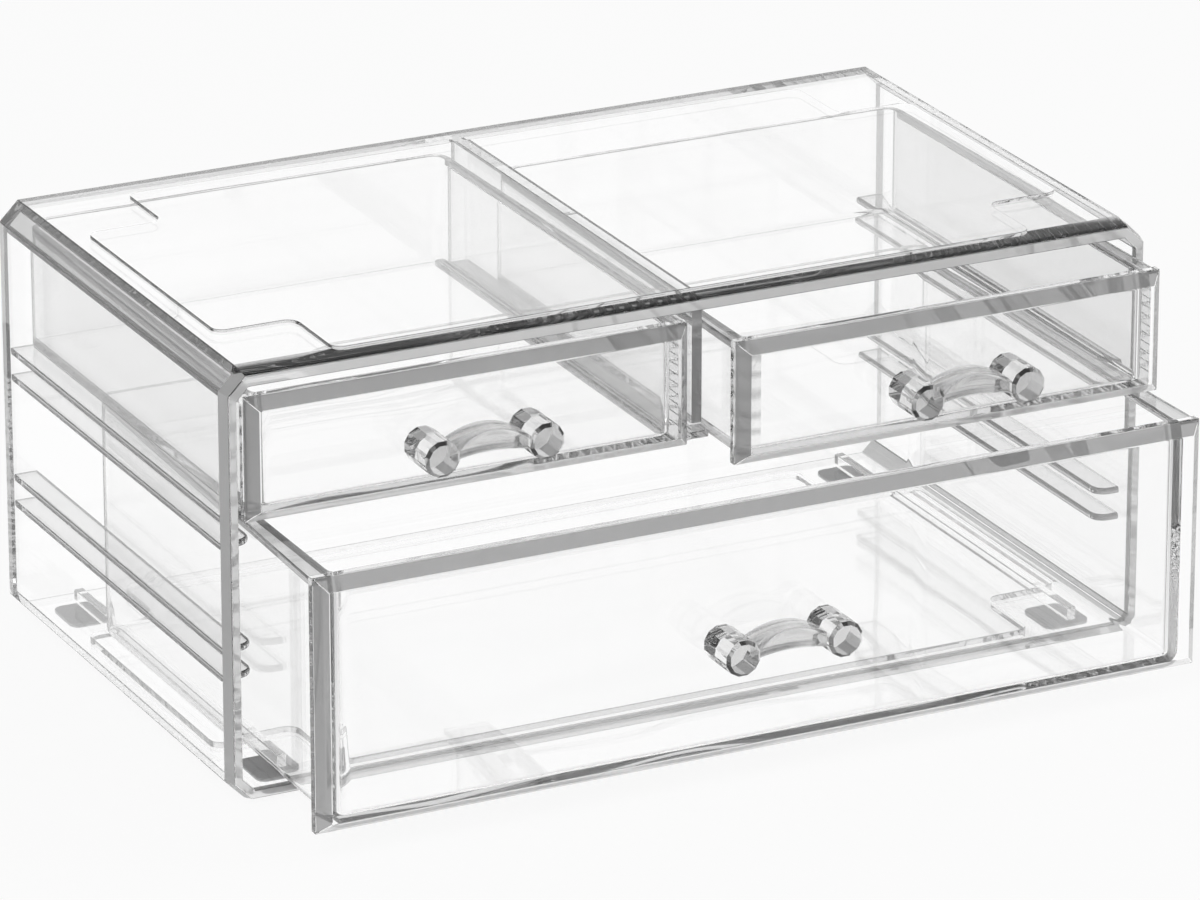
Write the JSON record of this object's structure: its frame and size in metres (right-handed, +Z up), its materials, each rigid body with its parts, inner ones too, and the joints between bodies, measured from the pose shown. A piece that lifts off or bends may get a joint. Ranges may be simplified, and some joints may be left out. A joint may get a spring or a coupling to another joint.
{
  "type": "acrylic drawer organizer",
  "caption": "Clear bevelled case with small drawers side by side over a wide tall drawer, each with a bow handle between faceted posts, and a stacking step on top.",
  "frame": {"origin": "centre of the case's footprint on the surface it stands on", "axes": "+X to the viewer's right along the wide front, the drawers open toward -Y, +Z up"},
  "size_m": [0.305, 0.2333, 0.1361],
  "materials": {
    "clear_plastic": "clear polished moulded styrene or acrylic",
    "foot_pad": "translucent grey soft pad, satin"
  },
  "bodies": {
    "case": {"back_left_foot": "foot_pad", "back_panel": "clear_plastic", "back_right_foot": "foot_pad", "case_shell": "clear_plastic", "centre_divider": "clear_plastic", "front_left_foot": "foot_pad", "front_right_foot": "foot_pad", "left_divider_shelf": "clear_plastic", "left_floor_runner": "clear_plastic", "left_lower_guide": "clear_plastic", "left_lower_runner": "clear_plastic", "left_upper_guide": "clear_plastic", "left_upper_runner": "clear_plastic", "right_divider_shelf": "clear_plastic", "right_floor_runner": "clear_plastic", "right_lower_guide": "clear_plastic", "right_lower_runner": "clear_plastic", "right_upper_guide": "clear_plastic", "right_upper_runner": "clear_plastic"},
    "left_drawer": {"left_drawer_front": "clear_plastic", "left_drawer_handle_bow": "clear_plastic", "left_drawer_handle_left_post": "clear_plastic", "left_drawer_handle_right_post": "clear_plastic", "left_drawer_tub": "clear_plastic"},
    "right_drawer": {"right_drawer_front": "clear_plastic", "right_drawer_handle_bow": "clear_plastic", "right_drawer_handle_left_post": "clear_plastic", "right_drawer_handle_right_post": "clear_plastic", "right_drawer_tub": "clear_plastic"},
    "tall_drawer": {"tall_drawer_front": "clear_plastic", "tall_drawer_handle_bow": "clear_plastic", "tall_drawer_handle_left_post": "clear_plastic", "tall_drawer_handle_right_post": "clear_plastic", "tall_drawer_tub": "clear_plastic"}
  },
  "joints": [
    {"name": "left_drawer_slide", "type": "slide", "parent": "case", "child": "left_drawer", "axis": [0, -1, 0], "range_m": [0, 0.11]},
    {"name": "right_drawer_slide", "type": "slide", "parent": "case", "child": "right_drawer", "axis": [0, -1, 0], "range_m": [-0.0216, 0.0884]},
    {"name": "tall_drawer_slide", "type": "slide", "parent": "case", "child": "tall_drawer", "axis": [0, -1, 0], "range_m": [-0.0471, 0.0629]}
  ]
}
